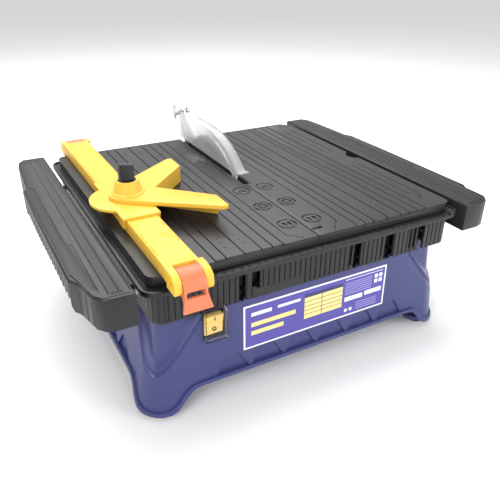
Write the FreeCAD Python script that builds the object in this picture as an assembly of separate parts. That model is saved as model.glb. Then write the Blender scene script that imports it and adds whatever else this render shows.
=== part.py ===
import FreeCAD, Part
import math
import os

os.makedirs("parts", exist_ok=True)

# Wet tile cutter.  Millimetres, +Z up.  +X points to the operator's right, +Y away
# from the operator.  The pieces are drawn about the middle of the table and saved
# CENTRE_X to the right, so that the origin lies under the middle of the footprint.

# ---- driving dimensions -------------------------------------------------------
TABLE_Z = 184.0          # height of the tile table above the ground
PLATE_X = 197.5          # half width of the two table plates together
PLATE_Y = 192.8          # half depth of the table plates
SKIN = 3.5               # top skin of a table plate
SLOT_HALF = 4.0          # half width of the blade slot
SLOT_FRONT_Y = -26.0     # front end of the blade slot
SPLIT_GAP = 0.6          # half of the seam between the two plates

FRAME_X = 206.0          # half width of the frame tray
FRAME_Y = 205.0          # half depth of the frame tray
LEDGE_TOP = 172.0
LEDGE_BOTTOM = 168.0
PLATEAU_TOP = 174.0
SKIRT_X = 197.0
SKIRT_Y = 198.0
SKIRT_BOTTOM = 131.0
OPENING_X = 170.0        # clear opening inside the frame
OPENING_Y = 180.0

BASE_TOP_Z = 140.0
BASE_TOP_X = 193.0
BASE_TOP_Y = 194.0
BASE_FOOT_X = 211.0
BASE_FOOT_Y = 197.0
BASE_WALL = 3.5
FLOOR_Z = 30.0
FLOOR_T = 4.0
FOOT_PAD = 3.0

BLADE_R = 90.0
BLADE_BORE_R = 11.1
BLADE_Y = 85.4           # spindle position
BLADE_Z = TABLE_Z - 57.5
SHAFT_R = 6.0
MOTOR_R = 45.0

HINGE_X = 3.0            # tilt axis of the right plate
HINGE_Z = TABLE_Z - 5.0
STAY_ARM = 80.0          # stay length, equal to its distance from the tilt axis
STAY_R = 3.0
STAY_Z = HINGE_Z - 11.6
STAY_X = HINGE_X + STAY_ARM

ROD_R = 5.0
ROD_Y = 150.0
ROD_Z = 150.0
SLEEVE_R = 6.4
SLEEVE_LENGTH = 60.0
RUN_GAP = 0.05           # radial gap of every running fit

WING_DEPTH = 35.0
WING_WALL = 3.0
WING_FRONT_Y = -211.0
WING_REAR_Y = 205.0
LEFT_WING_X = -214.5     # inner face, pulled out by a finger's width
RIGHT_WING_X = 207.0

FENCE_X0 = -184.0
FENCE_X1 = -149.0
FENCE_TOP = TABLE_Z + 15.0
FENCE_GAP = 0.3
FENCE_WALL = 2.5
LEVER_Y = 217.0
LEVER_Z = TABLE_Z + 4.0
LEVER_X0 = -176.3
LEVER_X1 = -152.7
PIN_R = 2.0

MITRE_X = -163.0
MITRE_Y = -35.0
SADDLE_R = 38.0
SADDLE_Z = FENCE_TOP + 0.2
SADDLE_T = 3.0
VEE_X = -130.0           # corner of the right-angled notch
VEE_TIP_X = -75.0
VEE_Z = SADDLE_Z + SADDLE_T + 0.2
VEE_T = 5.0
COLLAR_TOP = TABLE_Z + 39.0
KNOB_TOP = TABLE_Z + 59.0

GUARD_HALF = 6.5
GUARD_WALL = 1.5
GUARD_Y = 188.0          # pivot of the guard on the riving knife
GUARD_Z = TABLE_Z + 47.0
KNIFE_T = 2.0

SWITCH_X = -130.5
SWITCH_Z = 111.5
ROCKER_Y = -184.0
ROCKER_REST = 8.0        # rocker lean in degrees when switched off

WING_REACH = 51.0        # widest part of a wing, measured from its inner face
CENTRE_X = -(LEFT_WING_X + RIGHT_WING_X) / 2


# ---- small helpers ------------------------------------------------------------
def vec(x, y, z):
    return FreeCAD.Vector(x, y, z)


def box(x0, x1, y0, y1, z0, z1):
    return Part.makeBox(x1 - x0, y1 - y0, z1 - z0, vec(x0, y0, z0))


def rod(axis, start, length, radius):
    directions = {"x": vec(1, 0, 0), "y": vec(0, 1, 0), "z": vec(0, 0, 1)}
    return Part.makeCylinder(radius, length, vec(*start), directions[axis])


def ring(axis, start, length, outer, inner):
    return rod(axis, start, length, outer).cut(rod(axis, start, length, inner))


def prism_xy(points, z0, z1):
    wire = Part.makePolygon([vec(x, y, z0) for x, y in points + points[:1]])
    return Part.Face(wire).extrude(vec(0, 0, z1 - z0))


def prism_yz(points, x0, x1):
    wire = Part.makePolygon([vec(x0, y, z) for y, z in points + points[:1]])
    return Part.Face(wire).extrude(vec(x1 - x0, 0, 0))


def prism_xz(points, y0, y1):
    wire = Part.makePolygon([vec(x, y0, z) for x, z in points + points[:1]])
    return Part.Face(wire).extrude(vec(0, y1 - y0, 0))


def rounded_wire(half_x, half_y, radius, z):
    corners = [(1, 1, 0), (-1, 1, 90), (-1, -1, 180), (1, -1, 270)]
    arcs = []
    for sx, sy, start in corners:
        centre = vec(sx * (half_x - radius), sy * (half_y - radius), z)
        circle = Part.Circle(centre, vec(0, 0, 1), radius)
        arcs.append(Part.Arc(circle, math.radians(start), math.radians(start + 90)).toShape())
    edges = []
    for i, arc in enumerate(arcs):
        follower = arcs[(i + 1) % 4]
        edges.append(arc)
        edges.append(Part.makeLine(arc.lastVertex().Point, follower.firstVertex().Point))
    return Part.Wire(edges)


def slab(half_x, half_y, radius, z0, z1):
    return Part.Face(rounded_wire(half_x, half_y, radius, z0)).extrude(vec(0, 0, z1 - z0))


def frustum(low, high, z0, z1):
    wires = [rounded_wire(*low, z0), rounded_wire(*high, z1)]
    return Part.makeLoft(wires, True, True)


def join(shapes):
    result = shapes[0]
    for shape in shapes[1:]:
        result = result.fuse(shape)
    return result.removeSplitter()


def turn(shape, centre, axis, degrees):
    copy = shape.copy()
    copy.rotate(vec(*centre), vec(*axis), degrees)
    return copy


def flip_y(shape):
    return shape.mirror(vec(0, 0, 0), vec(0, 1, 0))


def save(node, shape):
    shape.translate(vec(CENTRE_X, 0, 0))
    shape.exportStep("parts/" + node + ".step")


# ---- base ----------------------------------------------------------------------
def base_half_x(z):
    return BASE_FOOT_X + (BASE_TOP_X - BASE_FOOT_X) * z / BASE_TOP_Z


def base_half_y(z):
    return BASE_FOOT_Y + (BASE_TOP_Y - BASE_FOOT_Y) * z / BASE_TOP_Z


TRAY = (-15.0, 150.0, -45.0, 184.0)
POSTS = [(sx * 173.0, sy * 176.0) for sx in (-1, 1) for sy in (-1, 1)]
FEET = [(sx * 187.0, sy * 172.0) for sx in (-1, 1) for sy in (-1, 1)]
GLAND = (-150.0, 70.0)


def base_tub():
    """Flared one-piece moulding: four walls, a floor and four corner legs."""
    low = (BASE_FOOT_X, BASE_FOOT_Y, 34.0)
    high = (BASE_TOP_X, BASE_TOP_Y, 26.0)
    outer = frustum(low, high, 0.0, BASE_TOP_Z)
    w = BASE_WALL
    inner = frustum((low[0] - w, low[1] - w, 31.0), (high[0] - w, high[1] - w, 23.0), 0.0, BASE_TOP_Z)
    shell = outer.cut(inner)
    floor = inner.common(box(-220, 220, -210, 210, FLOOR_Z, FLOOR_Z + FLOOR_T))
    floor = floor.cut(box(TRAY[0] - 0.5, TRAY[1] + 0.5, TRAY[2] - 0.5, TRAY[3] + 0.5, 0, 60))
    soles = []
    for x, y in FEET:
        sole = box(x - 26, x + 26, y - 28, y + 28, FOOT_PAD, FOOT_PAD + 5)
        soles.append(outer.common(sole))
    posts = [rod("z", (x, y, FLOOR_Z), BASE_TOP_Z - FLOOR_Z, 6.0) for x, y in POSTS]
    tub = join([shell, floor] + soles + posts)
    tub = tub.cut(prism_xz([(-178, -1), (-150, 31), (160, 31), (184, -1)], -210, 210))
    tub = tub.cut(prism_yz([(-165, -1), (-138, 31), (138, 31), (165, -1)], -220, 220))
    tub = tub.cut(box(-220, 220, -210, 210, -1, FOOT_PAD))
    for x, y in POSTS:
        tub = tub.cut(rod("z", (x, y, 120), 30, 1.95))
    tub = tub.cut(box(SWITCH_X - 13.5, SWITCH_X + 13.5, -200, -180, SWITCH_Z - 18.5, SWITCH_Z + 18.5))
    return tub.cut(rod("y", (GLAND[0], 180, GLAND[1]), 20, 8.05))


def rubber_feet():
    return Part.makeCompound([rod("z", (x, y, 0), FOOT_PAD, 11.0) for x, y in FEET])


def rating_label():
    """Thin sticker lying on the sloping front wall."""
    z0, z1 = 63.0, 119.5
    corners = [(-94.5, z0), (104.5, z0), (104.5, z1), (-94.5, z1)]
    wire = Part.makePolygon([vec(x, -base_half_y(z), z) for x, z in corners + corners[:1]])
    return Part.Face(wire).extrude(vec(0, -0.4, 0))


def water_tray():
    """Open bath the blade dips into."""
    x0, x1, y0, y1 = TRAY
    outer = box(x0, x1, y0, y1, 26, 98)
    inner = box(x0 + 2.5, x1 - 2.5, y0 + 2.5, y1 - 2.5, 28.5, 99)
    rim = box(x0 + 1, x1 + 5, y0 - 5, y1 + 5, 95.5, 98).cut(inner)
    return join([outer.cut(inner), rim])


def cable_gland():
    """Cord inlet in the rear wall, bored right through."""
    y = base_half_y(GLAND[1])
    parts = [rod("y", (GLAND[0], y - 12, GLAND[1]), 22, 8.0)]
    parts.append(rod("y", (GLAND[0], y + 0.1, GLAND[1]), 4, 11.0))
    parts.append(rod("y", (GLAND[0], y - 9.0, GLAND[1]), 4, 11.0))
    return join(parts).cut(rod("y", (GLAND[0], y - 20, GLAND[1]), 40, 3.8))


# ---- frame and table -------------------------------------------------------------
LUG_Y = 177.0
PLATE_SCREWS = [(-177.0, 184.0), (-177.0, -184.0), (-60.0, 185.0), (-60.0, -185.0)]


def hinge_lugs():
    lugs = []
    for y0 in (-188.0, 180.0):
        foot = box(HINGE_X - 2.4, HINGE_X + 2.4, y0, y0 + 8, LEDGE_TOP - 1, HINGE_Z)
        lugs.append(foot.fuse(rod("y", (HINGE_X, y0, HINGE_Z), 8, 2.4)))
    return lugs


def table_frame():
    """Moulded tray: ledge, raised rim, plateau for the plates, and a deep skirt."""
    hole = slab(OPENING_X, OPENING_Y, 12, 100, 200)
    ledge = slab(FRAME_X, FRAME_Y, 16, LEDGE_BOTTOM, LEDGE_TOP).cut(hole)
    lip = slab(FRAME_X, FRAME_Y, 16, LEDGE_TOP, LEDGE_TOP + 2)
    lip = lip.cut(slab(FRAME_X - 3, FRAME_Y - 3, 13, 160, 180))
    lip = lip.cut(box(-188, 188, -210, -190, 160, 180))
    plateau = slab(195, 190.5, 12, LEDGE_TOP, PLATEAU_TOP).cut(hole)
    skirt = slab(SKIRT_X, SKIRT_Y, 14, SKIRT_BOTTOM, LEDGE_BOTTOM)
    skirt = skirt.cut(slab(SKIRT_X - 2.5, SKIRT_Y - 3, 11, 100, 200))
    seat = slab(SKIRT_X - 1.5, SKIRT_Y - 1.5, 11, BASE_TOP_Z, BASE_TOP_Z + 3)
    gussets = []
    for x, y in POSTS:
        gusset = box(x - 8, x + 8, y - 8, y + 8, BASE_TOP_Z, BASE_TOP_Z + 3)
        reach = box(min(x, 1.12 * x), max(x, 1.12 * x), y - 8, y + 8, BASE_TOP_Z, BASE_TOP_Z + 3)
        gussets.append(gusset.fuse(reach))
    seat = seat.cut(slab(SKIRT_X - 12, 186, 10, 100, 200))
    frame = join([ledge, lip, plateau, skirt, seat] + gussets + hinge_lugs())
    for side in (-1, 1):
        for y in (-ROD_Y, ROD_Y):
            frame = frame.cut(rod("x", (side * SKIRT_X - 8, y, ROD_Z), 16, SLEEVE_R + 0.02))
        hole_y = LUG_Y if side > 0 else -LUG_Y - 8
        lug = box(STAY_X - 6, STAY_X + 6, hole_y, hole_y + 8, STAY_Z - 8, LEDGE_BOTTOM)
        frame = frame.fuse(lug)
        frame = frame.cut(rod("y", (STAY_X, hole_y - 1, STAY_Z), 10, STAY_R + RUN_GAP))
    for y0 in (-189.0, 179.0):
        frame = frame.cut(rod("y", (HINGE_X, y0, HINGE_Z), 10, 1.5))
    for x, y in POSTS:
        frame = frame.cut(rod("z", (x, y, BASE_TOP_Z - 1), 6, 2.2))
    for x, y in PLATE_SCREWS:
        frame = frame.cut(rod("z", (x, y, LEDGE_BOTTOM - 1), 10, 1.7))
    return frame.removeSplitter()


def frame_screws():
    screws = []
    for x, y in POSTS:
        shank = rod("z", (x, y, BASE_TOP_Z - 15), 18, 1.9)
        head = rod("z", (x, y, BASE_TOP_Z + 3), 3, 4.0)
        screws.append(shank.fuse(head))
    return Part.makeCompound(screws)


def plate_screws():
    screws = []
    for x, y in PLATE_SCREWS:
        shank = rod("z", (x, y, LEDGE_BOTTOM), 12, 1.6)
        head = rod("z", (x, y, LEDGE_BOTTOM - 2.5), 2.5, 3.5)
        screws.append(shank.fuse(head))
    return Part.makeCompound(screws)


def rod_sleeves():
    """Plain bushes in the skirt that the wing rods slide in."""
    sleeves = []
    for x0 in (-SKIRT_X - 2, SKIRT_X + 2 - SLEEVE_LENGTH):
        for y in (-ROD_Y, ROD_Y):
            sleeves.append(ring("x", (x0, y, ROD_Z), SLEEVE_LENGTH, SLEEVE_R, ROD_R + RUN_GAP))
    return Part.makeCompound(sleeves)


def plate_blank():
    blank = slab(PLATE_X, PLATE_Y, 10, PLATEAU_TOP, TABLE_Z)
    corner = prism_xy([(180, 200), (200, 200), (200, 172)], PLATEAU_TOP - 1, TABLE_Z + 1)
    blank = blank.cut(corner)
    slot = box(-SLOT_HALF, SLOT_HALF, SLOT_FRONT_Y, 200, PLATEAU_TOP - 1, TABLE_Z + 1)
    return blank.cut(slot)


def left_table_plate():
    """Fixed half of the table, hollow below with cross ribs."""
    plate = plate_blank().common(box(-210, -SPLIT_GAP, -210, 210, 100, 200))
    knuckle = rod("y", (HINGE_X, -200, HINGE_Z), 400, 5.5)
    plate = plate.cut(knuckle)
    top = TABLE_Z - SKIN
    for x0, x1 in ((-168, -117), (-114, -63), (-60, -10)):
        for y0, y1 in ((-178, -91), (-88, -2), (2, 88), (91, 178)):
            plate = plate.cut(box(x0, x1, y0, y1, PLATEAU_TOP - 1, top))
    for x, y in PLATE_SCREWS:
        plate = plate.cut(rod("z", (x, y, PLATEAU_TOP - 1), 7.2, 1.65))
    return plate


def right_table_plate():
    """Tilting half; its inner edge is rounded about the tilt axis."""
    plate = plate_blank().common(box(HINGE_X, 210, -210, 210, 100, 200))
    edge = rod("y", (HINGE_X, -PLATE_Y, HINGE_Z), PLATE_Y + SLOT_FRONT_Y, 5.0)
    edge = edge.common(box(HINGE_X - 6, HINGE_X + 1, -200, 200, HINGE_Z - 5, HINGE_Z + 5))
    plate = plate.fuse(edge)
    top = TABLE_Z - SKIN
    for x0, x1 in ((14, 63), (66, 115), (118, 168)):
        for y0, y1 in ((-178, -91), (-88, -2), (2, 88), (91, 178)):
            plate = plate.cut(box(x0, x1, y0, y1, PLATEAU_TOP - 1, top))
    grip = rod("z", (PLATE_X + 6, 3, PLATEAU_TOP - 1), 12, 16)
    plate = plate.cut(grip)
    eased = [(SLOT_HALF - 1, TABLE_Z - 2), (SLOT_HALF, TABLE_Z - 2), (SLOT_HALF + 2, TABLE_Z),
             (SLOT_HALF - 1, TABLE_Z)]
    plate = plate.cut(prism_xz(eased, SLOT_FRONT_Y, 200))
    for y0 in (-188.5, 179.5):
        plate = plate.cut(box(HINGE_X - 8, HINGE_X + 3.2, y0, y0 + 9, PLATEAU_TOP - 1, HINGE_Z + 3.0))
        plate = plate.cut(rod("y", (HINGE_X, y0 - 2.5, HINGE_Z), 14, 1.55))
    return plate.removeSplitter()


def tilt_pins():
    pins = [rod("y", (HINGE_X, -190.5, HINGE_Z), 13, 1.48), rod("y", (HINGE_X, 177.5, HINGE_Z), 13, 1.48)]
    return Part.makeCompound(pins)


def tilt_stay():
    """Wire bail that swings up under the right plate and props it."""
    tip_x = STAY_X + STAY_ARM
    y = 172.0
    parts = [rod("y", (tip_x, -y, STAY_Z), 2 * y, STAY_R)]
    for side in (-1, 1):
        parts.append(rod("x", (STAY_X, side * y, STAY_Z), STAY_ARM, STAY_R))
        parts.append(rod("y", (STAY_X, y if side > 0 else -y - 11, STAY_Z), 11, STAY_R))
        for x in (STAY_X, tip_x):
            parts.append(Part.makeSphere(STAY_R, vec(x, side * y, STAY_Z)))
    return join(parts)


# ---- side wings --------------------------------------------------------------------
def wing_outline(inset):
    """Plan of the left wing measured outwards from its inner face."""
    w = inset
    front, rear = WING_FRONT_Y + w, WING_REAR_Y - w
    outline = [(0 + w, front), (22, front), (31 - w / 2, front + 3), (37.5 - w, front + 12)]
    outline += [(42 - w, front + 34), (44.5 - w, -168), (50 - w, -160), (WING_REACH - w, 0), (50 - w, 84)]
    outline += [(44.5 - w, 92), (40.5 - w, rear - 30), (37.5 - w, rear - 10), (30 - w / 2, rear),
                (0 + w, rear)]
    return outline


def wing(inner_x, side):
    outer = [(inner_x + side * x, y) for x, y in wing_outline(0.0)]
    inner = [(inner_x + side * x, y) for x, y in wing_outline(WING_WALL)]
    body = prism_xy(outer, TABLE_Z - WING_DEPTH, TABLE_Z)
    body = body.cut(prism_xy(inner, TABLE_Z - WING_DEPTH - 1, TABLE_Z - WING_WALL))
    for y in (-ROD_Y, ROD_Y):
        boss_x = inner_x if side > 0 else inner_x - 18
        body = body.fuse(box(boss_x, boss_x + 18, y - 8, y + 8, ROD_Z - 1, TABLE_Z - WING_WALL))
        start = inner_x - 1 if side > 0 else inner_x - 14
        body = body.cut(rod("x", (start, y, ROD_Z), 15, ROD_R))
    return body.removeSplitter()


def wing_rods(inner_x, side):
    rods = []
    for y in (-ROD_Y, ROD_Y):
        start = inner_x - 14 if side < 0 else inner_x - 182
        rods.append(rod("x", (start, y, ROD_Z), 196, ROD_R))
    return Part.makeCompound(rods)


# ---- blade, spindle and motor ---------------------------------------------------------
def diamond_blade():
    core = rod("x", (-0.8, BLADE_Y, BLADE_Z), 1.6, BLADE_R - 6)
    rim = ring("x", (-1.1, BLADE_Y, BLADE_Z), 2.2, BLADE_R, BLADE_R - 7)
    return join([core, rim]).cut(rod("x", (-2, BLADE_Y, BLADE_Z), 4, BLADE_BORE_R))


def inner_flange():
    disc = rod("x", (-6.8, BLADE_Y, BLADE_Z), 6.0, 20.0)
    boss = rod("x", (-0.8, BLADE_Y, BLADE_Z), 1.5, BLADE_BORE_R - 0.05)
    return join([disc, boss]).cut(rod("x", (-8, BLADE_Y, BLADE_Z), 12, SHAFT_R))


def outer_flange():
    return ring("x", (0.8, BLADE_Y, BLADE_Z), 5.0, 20.0, SHAFT_R)


def arbor_nut():
    points = []
    for i in range(6):
        angle = math.radians(60 * i)
        points.append((BLADE_Y + 11 * math.cos(angle), BLADE_Z + 11 * math.sin(angle)))
    return prism_yz(points, 5.8, 13.8).cut(rod("x", (5, BLADE_Y, BLADE_Z), 10, SHAFT_R))


def motor_shaft():
    shaft = rod("x", (-154, BLADE_Y, BLADE_Z), 170, SHAFT_R)
    return shaft


def rotor_core():
    return ring("x", (-122, BLADE_Y, BLADE_Z), 60, 27.7, SHAFT_R)


def cooling_fan():
    hub = ring("x", (-144, BLADE_Y, BLADE_Z), 12, 11, SHAFT_R)
    blades = [hub]
    for i in range(8):
        blade = box(-143, -133, BLADE_Y - 1, BLADE_Y + 1, BLADE_Z + 9, BLADE_Z + 34)
        blades.append(turn(blade, (0, BLADE_Y, BLADE_Z), (1, 0, 0), 45 * i))
    return join(blades)


def motor_housing():
    return ring("x", (-145, BLADE_Y, BLADE_Z), 100, MOTOR_R, MOTOR_R - 3)


def stator_core():
    return ring("x", (-122, BLADE_Y, BLADE_Z), 60, MOTOR_R - 3, 28.2)


def end_bell(x0, x1, seat_x):
    bell = rod("x", (x0, BLADE_Y, BLADE_Z), x1 - x0, MOTOR_R)
    bell = bell.cut(rod("x", (seat_x, BLADE_Y, BLADE_Z), 9, 15))
    return bell.cut(rod("x", (x0 - 1, BLADE_Y, BLADE_Z), x1 - x0 + 2, SHAFT_R + 1))


def motor_bearings():
    first = ring("x", (-154, BLADE_Y, BLADE_Z), 9, 15, SHAFT_R)
    second = ring("x", (-45, BLADE_Y, BLADE_Z), 9, 15, SHAFT_R)
    return Part.makeCompound([first, second])


def motor_bracket():
    floor = FLOOR_Z + FLOOR_T
    plates = [box(-130, -60, BLADE_Y - 42, BLADE_Y + 42, floor, floor + 3)]
    for x0 in (-128.0, -68.0):
        cheek = box(x0, x0 + 6, BLADE_Y - 38, BLADE_Y + 38, floor, BLADE_Z - 20)
        plates.append(cheek.cut(rod("x", (x0 - 1, BLADE_Y, BLADE_Z), 8, MOTOR_R)))
    bracket = join(plates)
    for x, y in BRACKET_SCREWS:
        bracket = bracket.cut(rod("z", (x, y, floor - 1), 6, 2.05))
    return bracket


BRACKET_SCREWS = [(x, BLADE_Y + dy) for x in (-115.0, -75.0) for dy in (-34.0, 34.0)]


def motor_screws():
    floor = FLOOR_Z + FLOOR_T
    screws = []
    for x, y in BRACKET_SCREWS:
        head = rod("z", (x, y, floor + 3), 3, 4)
        screws.append(head.fuse(rod("z", (x, y, floor), 3, 2.0)))
    return Part.makeCompound(screws)


def run_capacitor():
    body = rod("x", (-150, -30, FLOOR_Z + FLOOR_T + 17), 62, 17)
    stud = rod("x", (-88, -30, FLOOR_Z + FLOOR_T + 17), 8, 5)
    return join([body, stud])


def splash_wall():
    wall = box(-21, -18.5, -60, 184, FLOOR_Z + FLOOR_T, 166)
    foot = box(-31, -18.5, -60, 184, FLOOR_Z + FLOOR_T, FLOOR_Z + FLOOR_T + 2.5)
    tail = box(-21, -18.5, 184, 190, FLOOR_Z + FLOOR_T, BASE_TOP_Z - 1)
    return join([wall, foot, tail]).cut(rod("x", (-22, BLADE_Y, BLADE_Z), 5, 10))


# ---- riving knife and blade guard ---------------------------------------------------------
KNIFE_SCREWS = [(185.2, 114.0), (185.2, 131.0)]
KNIFE_SCREW_R = 2.0


def riving_knife():
    """Steel plate behind the blade; its front edge follows the rim of the blade."""
    points = [(180.2, 107), (190, 107), (190, 138), (185.5, 140), (185.5, 146), (179.4, 160)]
    points += [(179.4, TABLE_Z), (190, TABLE_Z + 8), (196, GUARD_Z - 4)]
    for degrees in (20, 60, 100, 140):
        a = math.radians(degrees)
        points.append((GUARD_Y + 7 * math.cos(a), GUARD_Z + 7 * math.sin(a)))
    for degrees in (56, 48, 40, 32, 24, 16, 8, 0, -8):
        a = math.radians(degrees)
        points.append((BLADE_Y + 94.5 * math.cos(a), BLADE_Z + 94.5 * math.sin(a)))
    plate = prism_yz(points, -KNIFE_T / 2, KNIFE_T / 2)
    plate = plate.cut(rod("x", (-2, GUARD_Y, GUARD_Z), 4, 3.0))
    for y, z in KNIFE_SCREWS:
        plate = plate.cut(rod("x", (-2, y, z), 4, KNIFE_SCREW_R))
    return plate


def knife_bracket():
    block = box(-18.5, -1, 178, 190, 107, 138)
    for y, z in KNIFE_SCREWS:
        block = block.cut(rod("x", (-11, y, z), 12, KNIFE_SCREW_R))
    return block


def knife_clamp():
    plate = box(1, 5, 178, 190, 107, 138)
    for y, z in KNIFE_SCREWS:
        plate = plate.cut(rod("x", (0, y, z), 6, KNIFE_SCREW_R))
    return plate


def knife_screws():
    screws = []
    for y, z in KNIFE_SCREWS:
        screws.append(rod("x", (-10, y, z), 15, KNIFE_SCREW_R).fuse(rod("x", (5, y, z), 3, 3.6)))
    return Part.makeCompound(screws)


def guard_profile(inset):
    """Side view of the guard: low front, swept top, raised ear at the pivot."""
    w = inset
    top = [(-10, 11), (-5, 14), (4.6, 21.5), (14.8, 28.5), (29, 36), (46, 42), (66, 46.5),
           (90, 48.5), (176, 48.5)]
    points = [(y + 0.6 * w, TABLE_Z + z - w) for y, z in top]
    points += [(199, TABLE_Z + 48.5 - w), (198.5, TABLE_Z + 32), (193, TABLE_Z + 20), (183, TABLE_Z + 8)]
    points.append((-10 + 0.6 * w, TABLE_Z + 8))
    return points


def blade_guard():
    """Clear channel that hangs from the riving knife and covers the blade."""
    h = GUARD_HALF
    body = prism_yz(guard_profile(0.0), -h, h)
    ear = rod("x", (-h, GUARD_Y, GUARD_Z), 2 * h, 9)
    body = join([body, ear])
    i = h - GUARD_WALL
    hollow = prism_yz([(y, z) for y, z in guard_profile(GUARD_WALL)][:9] +
                      [(210, TABLE_Z + 47), (210, TABLE_Z), (-7.5, TABLE_Z)], -i, i)
    body = body.cut(hollow)
    body = body.cut(box(-i, i, 165, 215, TABLE_Z, TABLE_Z + 70))
    tongue = prism_yz([(-4, TABLE_Z + 8.2), (-20, TABLE_Z + 12), (-20.5, TABLE_Z + 13.6),
                       (-9, TABLE_Z + 12), (-4, TABLE_Z + 13)], -h, h)
    nib = prism_yz([(-10, TABLE_Z + 8.1), (4, TABLE_Z + 8.1), (-8, TABLE_Z + 1.5)], -h, -i)
    body = join([body, tongue, nib])
    return body.cut(rod("x", (-10, GUARD_Y, GUARD_Z), 20, 3.0 + RUN_GAP))


def guard_bolt():
    shank = rod("x", (-GUARD_HALF - 0.3, GUARD_Y, GUARD_Z), 2 * GUARD_HALF + 8, 3.0)
    head = rod("x", (GUARD_HALF + 0.2, GUARD_Y, GUARD_Z), 4, 5.5)
    stub = rod("x", (-GUARD_HALF - 8, GUARD_Y, GUARD_Z), 9, 3.0)
    return join([shank.common(box(-20, GUARD_HALF + 2, 100, 250, 200, 260)), head, stub])


def guard_nut():
    hub = rod("x", (-GUARD_HALF - 7.7, GUARD_Y, GUARD_Z), 7.5, 6.0)
    ears = []
    for side in (-1, 1):
        ear = box(-GUARD_HALF - 7.7, -GUARD_HALF - 4.7, GUARD_Y - 3, GUARD_Y + 3,
                  GUARD_Z + (4 if side > 0 else -11), GUARD_Z + (11 if side > 0 else -4))
        ears.append(ear)
    nut = join([hub] + ears)
    return nut.cut(rod("x", (-GUARD_HALF - 9, GUARD_Y, GUARD_Z), 10, 3.0))


# ---- fence and its levers --------------------------------------------------------------------
def fence_rail():
    """Channel-section rip fence with two forked ends that hook over the frame."""
    low = TABLE_Z + FENCE_GAP
    rail = box(FENCE_X0, FENCE_X1, -203, 203, low, FENCE_TOP)
    core = box(FENCE_X0 + FENCE_WALL, FENCE_X1 - FENCE_WALL, -200.5, 200.5, low - 1, FENCE_TOP - FENCE_WALL)
    rail = rail.cut(core)
    cheek = prism_yz([(-202, low), (-206.7, low), (-206.7, TABLE_Z - 5), (-226, TABLE_Z - 5),
                      (-228.5, TABLE_Z),
                      (-227, TABLE_Z + 9), (-221, TABLE_Z + 13.5), (-212, FENCE_TOP), (-202, FENCE_TOP)],
                     LEVER_X0 - 8, LEVER_X0 - 0.5)
    other = cheek.copy()
    other.translate(vec(LEVER_X1 - LEVER_X0 + 8.5, 0, 0))
    parts = [rail]
    for piece in (cheek, other):
        piece = piece.cut(rod("x", (LEVER_X0 - 9, -LEVER_Y, LEVER_Z), 50, PIN_R))
        parts.append(piece)
        parts.append(flip_y(piece))
    return join(parts)


def lever_pins():
    pins = [rod("x", (LEVER_X0 - 7.5, y, LEVER_Z), LEVER_X1 - LEVER_X0 + 15, PIN_R)
            for y in (-LEVER_Y, LEVER_Y)]
    return Part.makeCompound(pins)


def front_lever():
    """Over-centre cam lever: curved cap, two side webs and a flared handle."""
    t = TABLE_Z
    skin = prism_yz([(-207.2, t + 11), (-207.2, t + 13.5), (-212, t + 15), (-219, t + 14.5),
                     (-226, t + 10.5),
                     (-230.5, t + 3), (-231.5, t - 8), (-236, t - 27), (-233, t - 27.5), (-228.5, t - 9),
                     (-227.5, t + 2.5), (-224, t + 8), (-218, t + 11.8),
                     (-212, t + 12.3)], LEVER_X0, LEVER_X1)
    parts = [skin]
    web = [(-206.5, t + 12), (-219, t + 13), (-228.5, t + 4), (-229.5, t - 9), (-233, t - 20),
           (-226, t - 12), (-213, t - 13), (-207.2, t - 9), (-208.5, t - 2)]
    for x0 in (LEVER_X0, LEVER_X1 - 2.5):
        parts.append(prism_yz(web, x0, x0 + 2.5))
    lever = join(parts)
    lever = lever.cut(box(LEVER_X0 + 3, LEVER_X1 - 3, -234, -227, t - 6, t - 2))
    return lever.cut(rod("x", (LEVER_X0 - 1, -LEVER_Y, LEVER_Z), 30, PIN_R + RUN_GAP))


# ---- mitre guide ------------------------------------------------------------------------------
def mitre_saddle():
    """Round-backed plate that straddles the fence and slides along it."""
    z0, z1 = SADDLE_Z, SADDLE_Z + SADDLE_T
    x0, x1 = FENCE_X0 - 4, FENCE_X1 + 4
    y0, y1 = MITRE_Y - 58, MITRE_Y + 58
    centre_x = MITRE_X - 7
    rise = math.sqrt(SADDLE_R ** 2 - (centre_x - x0) ** 2)
    back = [vec(x0, MITRE_Y + rise, z0), vec(centre_x - SADDLE_R, MITRE_Y, z0), vec(x0, MITRE_Y - rise, z0)]
    path = [back[2], vec(x0, y0, z0), vec(x1, y0, z0), vec(x1, y1, z0), vec(x0, y1, z0), back[0]]
    edges = Part.makePolygon(path).Edges + [Part.Arc(*back).toShape()]
    saddle = Part.Face(Part.Wire(edges)).extrude(vec(0, 0, z1 - z0))
    for y in (y0 + 1, y1 - 17):
        saddle = saddle.fuse(box(x0 + 0.2, FENCE_X0 - 0.3, y, y + 16, TABLE_Z + 6, z0 + 1))
        saddle = saddle.fuse(box(FENCE_X1 + 0.3, x1 - 0.2, y, y + 16, TABLE_Z + 6, z0 + 1))
    return saddle.cut(rod("z", (MITRE_X, MITRE_Y, z0 - 1), 6, 3.1))


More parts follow.
